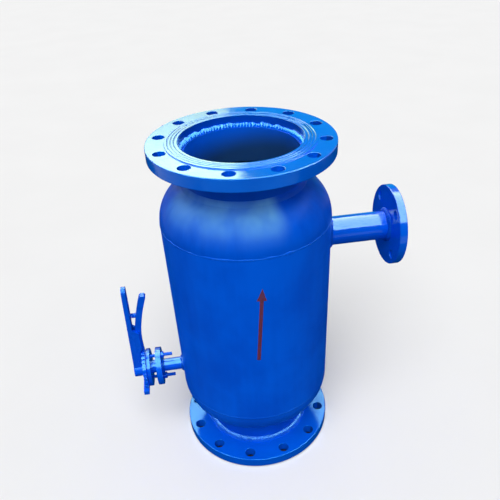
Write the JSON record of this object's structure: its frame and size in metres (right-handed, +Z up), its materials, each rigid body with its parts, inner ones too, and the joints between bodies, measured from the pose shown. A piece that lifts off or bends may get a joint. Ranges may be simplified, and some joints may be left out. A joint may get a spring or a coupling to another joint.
{
  "type": "self cleaning filter",
  "caption": "Straight-through backwash filter: flanged cylindrical vessel with dished heads, slotted baskets, a drain branch and a lever that turns an inner diverter disc.",
  "frame": {"origin": "centre of the bottom (inlet) flange's sealing face", "axes": "+Z up along the flow from inlet to outlet, +X along the drain branch, the lever on the -X side"},
  "size_m": [0.5698, 0.335, 0.704],
  "materials": {
    "blue_paint": "gloss",
    "steel": "satin",
    "mesh": "satin",
    "bronze": "satin",
    "packing": "matte"
  },
  "bodies": {
    "vessel": {"shell": "blue_paint", "upper_head": "blue_paint", "lower_head": "blue_paint", "upper_seam_weld": "blue_paint", "lower_seam_weld": "blue_paint", "outlet_neck": "blue_paint", "inlet_neck": "blue_paint", "outlet_flange": "blue_paint", "inlet_flange": "blue_paint", "outlet_inner_weld": "blue_paint", "outlet_outer_weld": "blue_paint", "inlet_inner_weld": "blue_paint", "inlet_outer_weld": "blue_paint", "upper_neck_weld": "blue_paint", "lower_neck_weld": "blue_paint", "drain_pipe": "blue_paint", "drain_flange": "blue_paint", "drain_branch_weld": "blue_paint", "drain_back_weld": "blue_paint", "drain_inner_weld": "blue_paint", "stem_sleeve": "blue_paint", "sleeve_flange": "blue_paint", "sleeve_branch_weld": "blue_paint", "sleeve_flange_weld": "blue_paint", "packing_rings": "packing", "bonnet": "blue_paint", "bonnet_studs": "blue_paint", "bonnet_nuts": "blue_paint", "notch_plate": "blue_paint", "plate_screws": "blue_paint", "seat_ring": "steel", "near_bush": "bronze", "far_bush": "bronze", "lower_basket": "steel", "lower_mesh": "mesh", "upper_basket": "steel", "upper_mesh": "mesh", "drain_collar": "steel", "collar_cap": "steel", "collar_guides": "steel"},
    "diverter": {"stem": "steel", "disc": "steel", "disc_pins": "steel", "lever": "blue_paint", "lever_washer": "steel", "lever_screw": "steel", "trigger_pin": "steel", "trigger_spring": "steel"},
    "trigger": {"trigger": "blue_paint"}
  },
  "joints": [
    {"name": "diverter_turn", "type": "hinge", "parent": "vessel", "child": "diverter", "pos_m": [-0.2, 0, 0.195], "axis": [1, 0, 0], "range_deg": [0, 90]},
    {"name": "trigger_squeeze", "type": "hinge", "parent": "diverter", "child": "trigger", "pos_m": [-0.2538, 0, 0.225], "axis": [0, -1, 0], "range_deg": [0, 4], "stiffness_Nm_per_rad": 3, "springref_deg": -6.88, "deforming": ["trigger_spring"]}
  ]
}
